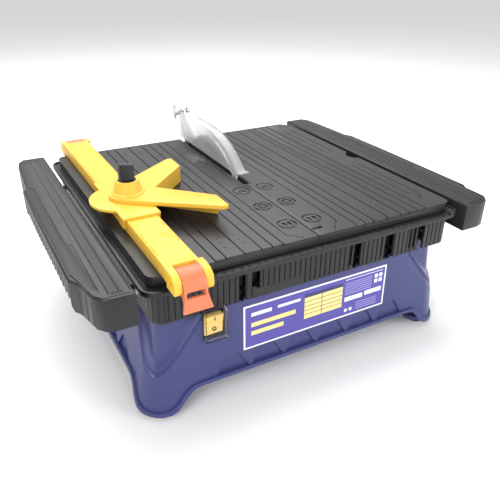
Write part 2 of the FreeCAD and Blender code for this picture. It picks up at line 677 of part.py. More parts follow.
def mitre_vee():
    """Right-angled arms with fence walls along the notch, and the knob collar."""
    z0, z1 = VEE_Z, VEE_Z + VEE_T
    reach = VEE_TIP_X - VEE_X
    half = [(VEE_X, 0), (VEE_TIP_X, reach), (VEE_TIP_X, reach + 31), (VEE_TIP_X - 7, reach + 31)]
    half += [(MITRE_X - 5, 25), (MITRE_X - 19, 12), (MITRE_X - 23, 0)]
    outline = [(x, MITRE_Y + y) for x, y in half] + [(x, MITRE_Y - y) for x, y in reversed(half[1:-1])]
    parts = [prism_xy(outline, z0, z1)]
    wall = [(VEE_X + 2, 2), (VEE_TIP_X, reach), (VEE_TIP_X, reach + 4.5), (VEE_X - 3, 1.5),
            (VEE_X - 3, 0), (VEE_X, 0)]
    for side in (-1, 1):
        parts.append(prism_xy([(x, MITRE_Y + side * y) for x, y in wall], TABLE_Z + 0.8, z0))
    collar = Part.makeCone(17, 13.3, COLLAR_TOP - z1, vec(MITRE_X, MITRE_Y, z1))
    guide = join(parts + [collar])
    guide = guide.cut(rod("z", (MITRE_X, MITRE_Y, COLLAR_TOP - 9), 12, 10.5))
    return guide.cut(rod("z", (MITRE_X, MITRE_Y, z0 - 1), 40, 3.0 + RUN_GAP))


def mitre_knob():
    stud = rod("z", (MITRE_X, MITRE_Y, SADDLE_Z + SADDLE_T + 0.1), COLLAR_TOP - 5 - SADDLE_Z - SADDLE_T, 3.0)
    base = rod("z", (MITRE_X, MITRE_Y, COLLAR_TOP - 8.7), 9, 10.0)
    grip = box(MITRE_X - 8.5, MITRE_X + 8.5, MITRE_Y - 4, MITRE_Y + 4, COLLAR_TOP, KNOB_TOP)
    return join([stud, base, grip])


# ---- switch ---------------------------------------------------------------------------------------
def switch_body():
    """Snap-in switch frame with an open front for the rocker."""
    x0, x1 = SWITCH_X - 13.3, SWITCH_X + 13.3
    z0, z1 = SWITCH_Z - 18.3, SWITCH_Z + 18.3
    body = box(x0, x1, -194, -168, z0, z1)
    body = body.cut(box(SWITCH_X - 10.6, SWITCH_X + 10.6, -200, -172, SWITCH_Z - 15, SWITCH_Z + 15))
    for side in (-1, 1):
        pin = rod("x", (SWITCH_X + side * 10.6 - 1.5 + side * -0.5, ROCKER_Y, SWITCH_Z), 3, 1.5)
        body = body.fuse(pin)
    return body.removeSplitter()


def rocker_switch():
    half = [(-195.5, SWITCH_Z + 12.5), (-190.5, SWITCH_Z), (-195.5, SWITCH_Z - 12.5)]
    points = half + [(-180, SWITCH_Z - 10), (-177.5, SWITCH_Z), (-180, SWITCH_Z + 10)]
    rocker = prism_yz(points, SWITCH_X - 10.2, SWITCH_X + 10.2)
    rocker = rocker.cut(rod("x", (SWITCH_X - 20, ROCKER_Y, SWITCH_Z), 40, 1.5 + RUN_GAP))
    return turn(rocker, (SWITCH_X, ROCKER_Y, SWITCH_Z), (1, 0, 0), ROCKER_REST)


def switch_cover():
    """Soft clear boot over the rocker."""
    x0, x1 = SWITCH_X - 13.0, SWITCH_X + 13.0
    z0, z1 = SWITCH_Z - 18.0, SWITCH_Z + 18.0
    outer = box(x0, x1, -202.5, -194.2, z0, z1)
    return outer.cut(box(x0 + 1.2, x1 - 1.2, -201.3, -194, z0 + 1.2, z1 - 1.2))


# ---- write every piece --------------------------------------------------------------------------------
NODES = {
    "base_tub": base_tub(),
    "rubber_feet": rubber_feet(),
    "rating_label": rating_label(),
    "water_tray": water_tray(),
    "cable_gland": cable_gland(),
    "table_frame": table_frame(),
    "frame_screws": frame_screws(),
    "plate_screws": plate_screws(),
    "rod_sleeves": rod_sleeves(),
    "left_table_plate": left_table_plate(),
    "right_table_plate": right_table_plate(),
    "tilt_pins": tilt_pins(),
    "tilt_stay": tilt_stay(),
    "left_wing": wing(LEFT_WING_X, -1),
    "left_wing_rods": wing_rods(LEFT_WING_X, -1),
    "right_wing": wing(RIGHT_WING_X, 1),
    "right_wing_rods": wing_rods(RIGHT_WING_X, 1),
    "diamond_blade": diamond_blade(),
    "inner_flange": inner_flange(),
    "outer_flange": outer_flange(),
    "arbor_nut": arbor_nut(),
    "motor_shaft": motor_shaft(),
    "rotor_core": rotor_core(),
    "cooling_fan": cooling_fan(),
    "motor_housing": motor_housing(),
    "stator_core": stator_core(),
    "motor_front_bell": end_bell(-45, -35, -45),
    "motor_rear_bell": end_bell(-155, -145, -154),
    "motor_bearings": motor_bearings(),
    "motor_bracket": motor_bracket(),
    "motor_screws": motor_screws(),
    "run_capacitor": run_capacitor(),
    "splash_wall": splash_wall(),
    "riving_knife": riving_knife(),
    "knife_bracket": knife_bracket(),
    "knife_clamp": knife_clamp(),
    "knife_screws": knife_screws(),
    "blade_guard": blade_guard(),
    "guard_bolt": guard_bolt(),
    "guard_nut": guard_nut(),
    "fence_rail": fence_rail(),
    "lever_pins": lever_pins(),
    "front_lever": front_lever(),
    "rear_lever": flip_y(front_lever()),
    "mitre_saddle": mitre_saddle(),
    "mitre_vee": mitre_vee(),
    "mitre_knob": mitre_knob(),
    "switch_body": switch_body(),
    "rocker_switch": rocker_switch(),
    "switch_cover": switch_cover(),
}

for node, shape in NODES.items():
    save(node, shape)
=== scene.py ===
# %% [markdown]
# A small wet tile cutter: a blue moulded stand, a black frame tray, a dark ribbed
# table in two halves, two sliding wings, a yellow fence with a mitre guide and a
# clear guard over the blade.  The CAD model is loaded first and every piece here is
# built around it, in metres, in the same frame.

# %% Load the frame
import math

import bpy
from mathutils import Matrix, Vector


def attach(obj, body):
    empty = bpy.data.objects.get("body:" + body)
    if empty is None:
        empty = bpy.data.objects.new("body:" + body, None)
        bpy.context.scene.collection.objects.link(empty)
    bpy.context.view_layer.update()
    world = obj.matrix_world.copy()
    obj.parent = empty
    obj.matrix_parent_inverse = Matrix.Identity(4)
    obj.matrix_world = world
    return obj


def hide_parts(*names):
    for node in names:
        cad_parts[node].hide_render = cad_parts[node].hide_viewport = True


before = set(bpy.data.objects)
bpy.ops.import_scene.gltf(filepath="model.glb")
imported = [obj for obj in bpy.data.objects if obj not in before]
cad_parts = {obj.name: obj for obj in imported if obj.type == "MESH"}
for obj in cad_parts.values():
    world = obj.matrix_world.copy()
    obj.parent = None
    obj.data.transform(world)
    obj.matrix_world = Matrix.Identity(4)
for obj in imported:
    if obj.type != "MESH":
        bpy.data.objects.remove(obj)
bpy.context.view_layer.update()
bpy.ops.object.select_all(action="DESELECT")
MM = 0.001
TABLE = 184.0
TABLE_X = 3.75           # the middle of the table sits this far right of the origin
print("CAD nodes:", len(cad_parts))

# %% [markdown]
# Every piece starts either as a primitive of the right size or as a merged copy of a
# CAD node.  A few short helpers keep the modelling cells readable: they select one
# object, add a box, a cylinder or a traced outline, carve one shape with others, and
# round the sharp edges with a bevel.

# %% Helpers for selecting and making shapes
AXES = {"x": (1, 2, 0), "y": (0, 2, 1), "z": (0, 1, 2)}


def only(obj):
    bpy.ops.object.select_all(action="DESELECT")
    obj.select_set(True)
    bpy.context.view_layer.objects.active = obj
    return obj


def settle(name):
    obj = only(bpy.context.object)
    bpy.ops.object.transform_apply(location=True, rotation=True, scale=True)
    obj.name = name
    return obj


def at(point):
    """A point measured in millimetres about the middle of the table, in metres."""
    return Vector((point[0] + TABLE_X, point[1], point[2])) * MM


def add_box(name, low, high):
    centre = at([(a + b) / 2 for a, b in zip(low, high)])
    size = [(b - a) * MM for a, b in zip(low, high)]
    bpy.ops.object.select_all(action="DESELECT")
    bpy.ops.mesh.primitive_cube_add(size=1, location=centre, scale=size)
    return settle(name)


def add_rod(name, axis, centre, length, radius, sides=48, top=None):
    turn = {"x": (0, math.pi / 2, 0), "y": (-math.pi / 2, 0, 0), "z": (0, 0, 0)}[axis]
    bpy.ops.object.select_all(action="DESELECT")
    bpy.ops.mesh.primitive_cone_add(vertices=sides, radius1=radius * MM, depth=length * MM,
                                    radius2=(radius if top is None else top) * MM,
                                    location=at(centre), rotation=turn)
    return settle(name)


def add_ring(name, centre, radius, thickness, sides=48):
    bpy.ops.object.select_all(action="DESELECT")
    bpy.ops.mesh.primitive_torus_add(major_radius=radius * MM, minor_radius=thickness * MM,
                                     major_segments=sides, minor_segments=8,
                                     location=at(centre))
    return settle(name)


def add_outline(name, points, axis, start, end):
    """Trace an outline one vertex at a time, fill it and extrude it along an axis."""
    first_axis, second_axis, depth_axis = AXES[axis]

    def place(point, depth):
        spot = [0, 0, 0]
        spot[first_axis], spot[second_axis], spot[depth_axis] = point[0], point[1], depth
        return at(spot)

    bpy.ops.object.select_all(action="DESELECT")
    here = place(points[0], start)
    bpy.ops.mesh.primitive_plane_add(size=0.001, location=here)
    bpy.ops.object.mode_set(mode="EDIT")
    bpy.ops.mesh.select_mode(type="VERT")
    bpy.ops.mesh.select_all(action="SELECT")
    bpy.ops.mesh.merge(type="CENTER")
    for point in points[1:] + points[:1]:
        goal = place(point, start)
        bpy.ops.mesh.extrude_vertices_move(TRANSFORM_OT_translate={"value": goal - here})
        here = goal
    bpy.ops.mesh.select_all(action="SELECT")
    bpy.ops.mesh.remove_doubles(threshold=0.00001)
    bpy.ops.mesh.edge_face_add()
    travel = place((0, 0), end) - place((0, 0), start)
    bpy.ops.mesh.extrude_region_move(TRANSFORM_OT_translate={"value": travel})
    bpy.ops.mesh.select_all(action="SELECT")
    bpy.ops.mesh.normals_make_consistent(inside=False)
    bpy.ops.object.mode_set(mode="OBJECT")
    return settle(name)


# %% Helpers for joining, carving and finishing
def smoothstep(a, b, value):
    t = min(max((value - a) / (b - a), 0.0), 1.0)
    return t * t * (3 - 2 * t)


def join(pieces, name):
    bpy.ops.object.select_all(action="DESELECT")
    for piece in pieces:
        piece.select_set(True)
    bpy.context.view_layer.objects.active = pieces[0]
    if len(pieces) > 1:
        bpy.ops.object.join()
    pieces[0].name = name
    return pieces[0]


def copy_shape(obj, name):
    twin = obj.copy()
    twin.data = obj.data.copy()
    bpy.context.scene.collection.objects.link(twin)
    twin.name = name
    twin.parent = None
    only(twin)
    twin.location = (0, 0, 0)
    bpy.ops.object.transform_apply(location=True, rotation=True, scale=True)
    return twin


def boolean(obj, tools, operation="DIFFERENCE", overlap=False):
    tool = join(tools, "tool") if isinstance(tools, list) else tools
    only(obj)
    bpy.ops.object.modifier_add(type="BOOLEAN")
    cut = obj.modifiers[-1]
    cut.operation = operation
    cut.object = tool
    cut.solver = "EXACT"
    cut.use_self = overlap
    bpy.ops.object.modifier_apply(modifier=cut.name)
    bpy.data.objects.remove(tool)
    return obj


def soften(obj, width, segments=2, angle=35, clamp=True):
    only(obj)
    bpy.ops.object.modifier_add(type="BEVEL")
    edge = obj.modifiers[-1]
    edge.width = width * MM
    edge.segments = segments
    edge.limit_method = "ANGLE"
    edge.angle_limit = math.radians(angle)
    edge.use_clamp_overlap = clamp
    edge.harden_normals = False
    bpy.ops.object.modifier_apply(modifier=edge.name)
    return obj


def smooth(obj, angle=32):
    only(obj)
    bpy.ops.object.shade_smooth_by_angle(angle=math.radians(angle))
    return obj


def merged_copy(node, name=None):
    """A copy of a CAD node with its loose triangles merged into clean faces."""
    obj = copy_shape(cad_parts[node], name or node + "_shell")
    obj.data.materials.clear()
    bpy.ops.object.mode_set(mode="EDIT")
    bpy.ops.mesh.select_all(action="SELECT")
    bpy.ops.mesh.remove_doubles(threshold=0.00002)
    bpy.ops.mesh.dissolve_limited(angle_limit=math.radians(1.0))
    bpy.ops.object.mode_set(mode="OBJECT")
    return obj


def finish_piece(obj, body, material, nodes=()):
    if material is not None:
        obj.data.materials.clear()
        obj.data.materials.append(material)
    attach(obj, body)
    if nodes:
        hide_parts(*nodes)
    print(obj.name, len(obj.data.polygons), "faces")
    return obj


# %% [markdown]
# The finishes.  Moulded plastic has a fine spark-eroded grain, slight mottling from
# handling and pale scuffs in scattered patches; these come from shared node groups so that
# every plastic shows the same kind of surface at its own strength.

# %% Node groups for grain and mottling
def new_group(name, inputs, outputs):
    group = bpy.data.node_groups.new(name, "ShaderNodeTree")
    for label, kind, value in inputs:
        socket = group.interface.new_socket(name=label, in_out="INPUT", socket_type=kind)
        socket.default_value = value
    for label, kind in outputs:
        group.interface.new_socket(name=label, in_out="OUTPUT", socket_type=kind)
    return group, group.nodes.new("NodeGroupInput"), group.nodes.new("NodeGroupOutput")


def math_node(tree, operation, first, second=None, clamp=False):
    node = tree.nodes.new("ShaderNodeMath")
    node.operation = operation
    node.use_clamp = clamp
    for socket, value in zip(node.inputs, (first, second)):
        if value is None:
            continue
        if isinstance(value, (int, float)):
            socket.default_value = value
        else:
            tree.links.new(value, socket)
    return node.outputs[0]


def noise_node(tree, vector, scale, detail=3.0, roughness=0.55):
    node = tree.nodes.new("ShaderNodeTexNoise")
    if isinstance(scale, (int, float)):
        node.inputs["Scale"].default_value = scale
    else:
        tree.links.new(scale, node.inputs["Scale"])
    node.inputs["Detail"].default_value = detail
    node.inputs["Roughness"].default_value = roughness
    tree.links.new(vector, node.inputs["Vector"])
    return node.outputs["Fac"]


def make_grain_group():
    """Fine moulded grain: a height for bump and a mottling mask from 0 to 1."""
    group, source, sink = new_group(
        "moulded_grain",
        [("Vector", "NodeSocketVector", (0, 0, 0)), ("Grain Scale", "NodeSocketFloat", 1600.0),
         ("Patch Scale", "NodeSocketFloat", 14.0)],
        [("Height", "NodeSocketFloat"), ("Mottle", "NodeSocketFloat"), ("Scuff", "NodeSocketFloat")])
    fine = noise_node(group, source.outputs["Vector"], source.outputs["Grain Scale"], 2.0)
    patch = noise_node(group, source.outputs["Vector"], source.outputs["Patch Scale"], 5.0, 0.6)
    stretch = group.nodes.new("ShaderNodeMapping")
    stretch.inputs["Scale"].default_value = (60.0, 900.0, 60.0)
    stretch.inputs["Rotation"].default_value = (0.2, 0.1, 0.6)
    group.links.new(source.outputs["Vector"], stretch.inputs["Vector"])
    streak = noise_node(group, stretch.outputs["Vector"], 1.0, 3.0)
    scratch = math_node(group, "GREATER_THAN", streak, 0.68)
    zone = math_node(group, "GREATER_THAN", patch, 0.55)
    group.links.new(fine, sink.inputs["Height"])
    group.links.new(patch, sink.inputs["Mottle"])
    group.links.new(math_node(group, "MULTIPLY", scratch, zone), sink.inputs["Scuff"])
    return group


GRAIN = make_grain_group()
print("node group:", GRAIN.name)


# %% One recipe for all moulded plastics
def mix_colour(tree, factor, first, second):
    node = tree.nodes.new("ShaderNodeMix")
    node.data_type = "RGBA"
    if isinstance(factor, (int, float)):
        node.inputs[0].default_value = factor
    else:
        tree.links.new(factor, node.inputs[0])
    for socket, value in ((node.inputs[6], first), (node.inputs[7], second)):
        if isinstance(value, tuple):
            socket.default_value = value + (1.0,) if len(value) == 3 else value
        else:
            tree.links.new(value, socket)
    return node.outputs[2]


def new_material(name):
    material = bpy.data.materials.new(name)
    material.use_nodes = True
    tree = material.node_tree
    return material, tree, tree.nodes["Principled BSDF"]


def object_vector(tree):
    return tree.nodes.new("ShaderNodeTexCoord").outputs["Object"]


def add_bump(tree, shader, height, strength, distance):
    bump = tree.nodes.new("ShaderNodeBump")
    bump.inputs["Strength"].default_value = strength
    bump.inputs["Distance"].default_value = distance
    tree.links.new(height, bump.inputs["Height"])
    tree.links.new(bump.outputs["Normal"], shader.inputs["Normal"])


def plastic(name, dark, light, scuffed, roughness, grain=1600.0, bump=0.25, scuff=0.25, patch=14.0):
    """Moulded plastic: two close tones mottled together, grain bump, faint scuffs."""
    material, tree, shader = new_material(name)
    group = tree.nodes.new("ShaderNodeGroup")
    group.node_tree = GRAIN
    group.inputs["Grain Scale"].default_value = grain
    group.inputs["Patch Scale"].default_value = patch
    tree.links.new(object_vector(tree), group.inputs["Vector"])
    tone = mix_colour(tree, group.outputs["Mottle"], dark, light)
    rubbed = math_node(tree, "MULTIPLY", group.outputs["Scuff"], scuff)
    colour = mix_colour(tree, rubbed, tone, scuffed)
    tree.links.new(colour, shader.inputs["Base Color"])
    rough = math_node(tree, "MULTIPLY_ADD", group.outputs["Mottle"], 0.18)
    rough.node.inputs[2].default_value = roughness - 0.09
    tree.links.new(rough, shader.inputs["Roughness"])
    add_bump(tree, shader, group.outputs["Height"], bump, 0.0002)
    shader.inputs["Specular IOR Level"].default_value = 0.38
    return material


BLUE = plastic("blue_moulding", (0.034, 0.040, 0.135), (0.046, 0.052, 0.165), (0.15, 0.16, 0.30), 0.34)
BLACK = plastic("black_moulding", (0.009, 0.009, 0.010), (0.015, 0.015, 0.016), (0.07, 0.07, 0.07), 0.44)
GREY = plastic("table_moulding", (0.013, 0.013, 0.014), (0.021, 0.021, 0.022), (0.10, 0.10, 0.10), 0.36)
YELLOW = plastic("yellow_moulding", (0.74, 0.43, 0.040), (0.80, 0.48, 0.055), (0.95, 0.75, 0.30), 0.42,
                 900, 0.12, 0.1)
ORANGE = plastic("orange_moulding", (0.58, 0.155, 0.070), (0.64, 0.185, 0.085), (0.90, 0.50, 0.35), 0.42,
                 900, 0.12, 0.1)
TRAY = plastic("tray_moulding", (0.020, 0.020, 0.022), (0.030, 0.030, 0.033), (0.12, 0.12, 0.12), 0.40)
KNOB = plastic("knob_moulding", (0.010, 0.010, 0.011), (0.016, 0.016, 0.018), (0.08, 0.08, 0.08), 0.32,
               1200, 0.15)
RUBBER = plastic("foot_rubber", (0.012, 0.012, 0.012), (0.020, 0.020, 0.020), (0.06, 0.06, 0.06), 0.80,
                 2200, 0.4)
BUSH = plastic("bush_nylon", (0.62, 0.62, 0.58), (0.70, 0.70, 0.66), (0.8, 0.8, 0.8), 0.40, 1500, 0.1)
SHEET_WHITE = plastic("label_white", (0.72, 0.72, 0.74), (0.78, 0.78, 0.80), (0.9, 0.9, 0.9), 0.35, 700,
                      0.05, 0.05)
SHEET_FIELD = plastic("label_violet", (0.075, 0.062, 0.300), (0.088, 0.072, 0.330), (0.3, 0.3, 0.5),
                      0.35, 700, 0.05, 0.05)
SHEET_PALE = plastic("label_pale", (0.26, 0.24, 0.52), (0.30, 0.28, 0.56), (0.5, 0.5, 0.7), 0.35, 700,
                     0.05, 0.05)
SHEET_YELLOW = plastic("label_yellow", (0.78, 0.60, 0.22), (0.82, 0.64, 0.26), (0.9, 0.8, 0.5), 0.35,
                       700, 0.05, 0.05)
SHEET_DARK = plastic("label_navy", (0.030, 0.032, 0.11), (0.040, 0.042, 0.14), (0.2, 0.2, 0.3), 0.35,
                     700, 0.05, 0.05)
print("plastics:", 13)


# %% [markdown]
# Metals and clear plastic.  Turned steel shows fine rings or draw lines, so the metal
# recipe stretches a noise along one axis for roughness and relief, and takes its tone from a slower plain
# noise.
# The guard and the switch boot are clear mouldings with a slight frost.

# %% Recipes for metals and clear plastic
def make_brush_group():
    """Fine parallel tool marks: a height, and a slow tone change from 0 to 1."""
    group, source, sink = new_group(
        "tool_marks", [("Vector", "NodeSocketVector", (0, 0, 0)),
                       ("Stretch", "NodeSocketVector", (400.0, 9000.0, 9000.0))],
        [("Height", "NodeSocketFloat"), ("Tone", "NodeSocketFloat")])
    stretch = group.nodes.new("ShaderNodeMapping")
    group.links.new(source.outputs["Vector"], stretch.inputs["Vector"])
    group.links.new(source.outputs["Stretch"], stretch.inputs["Scale"])
    group.links.new(noise_node(group, stretch.outputs["Vector"], 1.0, 2.0), sink.inputs["Height"])
    group.links.new(noise_node(group, source.outputs["Vector"], 60.0, 4.0), sink.inputs["Tone"])
    return group


BRUSH = make_brush_group()


def metal(name, dark, light, roughness, stretch, bump=0.12):
    material, tree, shader = new_material(name)
    group = tree.nodes.new("ShaderNodeGroup")
    group.node_tree = BRUSH
    group.inputs["Stretch"].default_value = stretch
    tree.links.new(object_vector(tree), group.inputs["Vector"])
    shader.inputs["Metallic"].default_value = 1.0
    tree.links.new(mix_colour(tree, group.outputs["Tone"], dark, light), shader.inputs["Base Color"])
    rough = math_node(tree, "MULTIPLY_ADD", group.outputs["Height"], 0.2)
    rough.node.inputs[2].default_value = roughness - 0.1
    tree.links.new(rough, shader.inputs["Roughness"])
    add_bump(tree, shader, group.outputs["Height"], bump, 0.0001)
    return material


def clear_plastic(name, tint, roughness, frost, through):
    material, tree, shader = new_material(name)
    group = tree.nodes.new("ShaderNodeGroup")
    group.node_tree = GRAIN
    group.inputs["Grain Scale"].default_value = 500.0
    tree.links.new(object_vector(tree), group.inputs["Vector"])
    shader.inputs["Transmission Weight"].default_value = through
    shader.inputs["IOR"].default_value = 1.20
    shader.inputs["Base Color"].default_value = tint
    rough = math_node(tree, "MULTIPLY_ADD", group.outputs["Mottle"], 0.10)
    rough.node.inputs[2].default_value = roughness - 0.05
    tree.links.new(rough, shader.inputs["Roughness"])
    add_bump(tree, shader, group.outputs["Height"], frost, 0.0002)
    return material


ZINC = metal("zinc_steel", (0.55, 0.56, 0.58), (0.68, 0.69, 0.70), 0.35, (3000.0, 3000.0, 600.0))
STEEL = metal("bright_steel", (0.55, 0.55, 0.56), (0.66, 0.66, 0.67), 0.25, (400.0, 9000.0, 9000.0))
BLADE = metal("blade_steel", (0.42, 0.42, 0.43), (0.52, 0.52, 0.53), 0.32, (500.0, 500.0, 6000.0))
ALLOY = metal("motor_alloy", (0.50, 0.51, 0.52), (0.60, 0.61, 0.62), 0.45, (900.0, 900.0, 900.0), 0.3)
LAMINATION = metal("lamination", (0.20, 0.20, 0.21), (0.28, 0.28, 0.29), 0.50, (9000.0, 200.0, 200.0), 0.5)
PAINT = plastic("motor_paint", (0.045, 0.050, 0.055), (0.060, 0.066, 0.072), (0.3, 0.3, 0.3), 0.40, 700, 0.3)
FROST = clear_plastic("guard_clear", (0.93, 0.94, 0.95, 1.0), 0.30, 0.15, 0.86)
BOOT = clear_plastic("boot_clear", (0.95, 0.95, 0.93, 1.0), 0.12, 0.10, 1.0)
AMBER = plastic("rocker_amber", (0.95, 0.62, 0.16), (0.98, 0.70, 0.24), (1.0, 0.9, 0.6), 0.28, 500, 0.05,
                0.1)
print("metals and clears ready")


# %% [markdown]
# The two table plates.  They are black mouldings with long shallow drain grooves,
# six round marks beside the seam and small groups of short dashes.  The CAD plates
# are copied, and the grooves are cut from above with thin blocks so that each groove
# catches a real shadow.

# %% Cutters for the table grooves
def strip(name, points, width, low, high):
    """A thin wall of even width that follows a line of points seen from above."""
    left, right = [], []
    for i, point in enumerate(points):
        before, after = points[max(i - 1, 0)], points[min(i + 1, len(points) - 1)]
        run = Vector((after[0] - before[0], after[1] - before[1])).normalized()
        side = Vector((-run.y, run.x)) * width / 2
        left.append((point[0] + side.x, point[1] + side.y))
        right.append((point[0] - side.x, point[1] - side.y))
    return add_outline(name, left + right[::-1], "z", low, high)


def repeat(obj, count, offset):
    """Copies of one shape at an even pitch, as one mesh."""
    only(obj)
    bpy.ops.object.modifier_add(type="ARRAY")
    row = obj.modifiers[-1]
    row.count = count
    row.use_relative_offset = False
    row.use_constant_offset = True
    row.constant_offset_displace = [o * MM for o in offset]
    bpy.ops.object.modifier_apply(modifier=row.name)
    return obj


def tube(name, axis, centre, length, outer, inner, sides=40):
    body = add_rod(name, axis, centre, length, outer, sides)
    return boolean(body, add_rod("bore", axis, centre, length + 1, inner, sides))


GROOVE = TABLE - 2.4
ABOVE = TABLE + 1.0


def full_grooves(columns):
    return [add_box("groove", (x - 0.75, -194, GROOVE), (x + 0.75, 187, ABOVE)) for x in columns]


def dashes(centres):
    cuts = []
    for x, y, size in centres:
        mark = add_box("dash", (x - size, y - 0.45, TABLE - 0.6), (x + size, y + 0.45, ABOVE))
        cuts.append(repeat(mark, 3, (0, 10.7, 0)))
    return cuts


def round_signs(x):
    """Three plain round signs: a ring each, with a bar, a smaller ring or a square."""
    rings = [tube("mark", "z", (x, y, TABLE), 2.6, 11.7, 9.3) for y in (-43.3, -97.5, -152.3)]
    rings.append(tube("mark", "z", (x, -97.5, TABLE), 2.6, 6.4, 3.6))
    for y in (-46.6, -42.0):
        rings.append(add_box("bar", (x - 5.5, y - 1.2, TABLE - 1.3), (x + 5.5, y + 1.2, ABOVE)))
    rings.append(add_box("square", (x - 5.2, -156.5, TABLE - 1.3), (x - 1.0, -148.2, ABOVE)))
    rings.append(add_box("square", (x + 1.2, -156.5, TABLE - 1.3), (x + 5.4, -148.2, ABOVE)))
    return rings


def end_steps(columns, depth=3.2):
    """Lower the front tip of the strips a little, as on the real table edge."""
    return [add_box("tip", (a + 0.7, -194, TABLE - 3.0), (b - 0.7, -194 + depth, ABOVE))
            for a, b in zip(columns[:-1], columns[1:])]


# %% Left table plate
left = merged_copy("left_table_plate", "table_left")
left_lines = [-126.0, -113.4, -92.3, -72.0, -59.0, -46.1]
cuts = full_grooves(left_lines)
cuts.append(strip("band", [(-33, 187), (-33, -174), (-19, -190)], 1.3, GROOVE, ABOVE))
cuts += end_steps(left_lines)
cuts.append(add_box("seam", (-2.6, -194, GROOVE), (-1.3, -27, ABOVE)))
cuts += dashes([(x, y, 1.7) for x in (-104.3, -83.0) for y in (-170, -92, -4, 72, 152)])
cuts += round_signs(-17.3)
cuts.append(add_outline("arrow", [(-27, 58), (-14, 58), (-14, 72), (-10.5, 72), (-20.5, 90), (-30.5, 72),
                                  (-27, 72)], "z", TABLE - 0.6, ABOVE))
boolean(left, cuts, overlap=True)
lip = add_outline("lip", [(-0.8, TABLE), (0.9, TABLE), (0.9, 183.68), (-0.8, 182.6)], "y", -192.6, -26)
left = join([left, lip], "table_left")
soften(left, 0.3, 1, 50)
smooth(left, 30)
finish_piece(left, "base", GREY, ["left_table_plate"])

# %% Right table plate
right = merged_copy("right_table_plate", "table_right")
right_lines = [38.5, 52.0, 64.4, 77.0, 97.7, 117.3, 130.8, 143.3, 155.8]
cuts = full_grooves(right_lines[1:])
cuts.append(strip("band", [(38.5, 187), (38.5, -170), (22, -190)], 1.3, GROOVE, ABOVE))
cuts += end_steps(right_lines[1:])
for x in (168.3, 180.8):
    cuts.append(add_box("groove", (x - 0.65, -150, GROOVE), (x + 0.65, -31, ABOVE)))
    cuts.append(add_box("groove", (x - 0.65, 30, GROOVE), (x + 0.65, 151, ABOVE)))
    cuts.append(add_box("hook", (x + 0.6, -150, GROOVE), (x + 3.5, -148.8, ABOVE)))
    cuts.append(add_box("hook", (x + 0.6, 149.8, GROOVE), (x + 3.5, 151, ABOVE)))
cuts.append(strip("crease", [(168, -170), (182, -157)], 1.0, GROOVE, ABOVE))
cuts += dashes([(x, y, 1.7) for x in (87.0, 107.3) for y in (-170, -92, -4, 72, 152)])
cuts += round_signs(16.4)
cuts.append(add_box("slot", (0.5, -178.8, TABLE - 3), (14, -173.4, ABOVE)))
boolean(right, cuts, overlap=True)
soften(right, 0.3, 1, 50)
smooth(right, 30)
finish_piece(right, "tilting_plate", GREY, ["right_table_plate"])


# %% [markdown]
# The frame tray round the table.  Its skirt is covered with narrow vertical ribs and
# broken by tall slots at the front, and a moulded scale runs along the front ledge.
# The CAD tray is copied; the gaps between ribs are rows of thin cutters, and the
# softened edges left between them read as rounded ribs.

# %% Frame tray with ribbed skirt
tray = merged_copy("table_frame", "frame_tray")
bpy.ops.object.select_all(action="DESELECT")
cuts = []
PITCH = 6.7
for y0, y1 in ((-199, -196.9), (196.9, 199)):
    first = -181.0
    row = add_box("gap", (first - 0.7, y0, 130), (first + 0.7, y1, 167.2))
    cuts.append(repeat(row, 15, (PITCH, 0, 0)))
    row = add_box("gap", (first + 15 * PITCH - 0.7, y0, 142), (first + 15 * PITCH + 0.7, y1, 167.2))
    cuts.append(repeat(row, 9, (PITCH, 0, 0)))
    row = add_box("gap", (first + 24 * PITCH - 0.7, y0, 130), (first + 24 * PITCH + 0.7, y1, 167.2))
    cuts.append(repeat(row, 31, (PITCH, 0, 0)))
for x0, x1 in ((-198, -196.0), (196.0, 198)):
    row = add_box("gap", (x0, -181.7, 130), (x1, -180.3, 167.2))
    cuts.append(repeat(row, 55, (0, PITCH, 0)))
for sx in (-1, 1):
    for sy in (-1, 1):
        for degrees in (8, 33, 58, 82):
            a = math.radians(degrees)
            spot = (sx * (183 + 14.3 * math.cos(a)), sy * (184 + 14.3 * math.sin(a)), 148.6)
            cuts.append(add_rod("gap", "z", spot, 37.2, 1.0, 10))
boolean(tray, cuts)
soften(tray, 0.45, 2, 50)
slots = [add_outline("slot", [(x0, 167), (x0, 134), (x1, 128), (x1, 167)], "y", -201, -188)
         for x0, x1 in ((-102.8, -94.4), (46.8, 56.9), (92.2, 106.5), (143.5, 155.2))]
slots.append(add_outline("slot", [(-86.8, 167), (-86.8, 146), (-77.2, 142), (-77.2, 167)], "y", -201, -188))
slots += [add_box("slit", (x0, -201, 137), (x1, -188, 167))
          for x0, x1 in ((41.2, 44.0), (86.3, 88.6), (130.9, 133.2), (137.0, 139.8))]
slots += [add_box("notch", (x - 2, -201, 129), (x + 2, -192, 133.5)) for x in (-147, -119)]
boolean(tray, slots)
backing = [add_box("backing", (x0 - 1.5, -188, 124), (x1 + 1.5, -186.5, 166))
           for x0, x1 in ((-102.8, -94.4), (-86.8, -77.2), (41, 57), (86, 106.5), (131, 155.2))]
print("skirt polygons:", len(tray.data.polygons))

# %% Scale on the front ledge
ruled = repeat(add_box("tick", (-140.5, -204.2, 170.6), (-139.5, -202.0, 173)), 132, (2.5, 0, 0))
boolean(tray, ruled)
ticks = []


def add_number(text, x, y, z, size):
    bpy.ops.object.select_all(action="DESELECT")
    bpy.ops.object.text_add(location=(0, 0, 0))
    words = bpy.context.object
    words.data.body = text
    words.data.size = size * MM
    words.data.extrude = 0.6 * MM
    words.data.align_x = "CENTER"
    bpy.ops.object.convert(target="MESH")
    number = only(bpy.context.object)
    number.location = at((x, y, z))
    bpy.ops.object.transform_apply(location=True, rotation=True, scale=True)
    return number


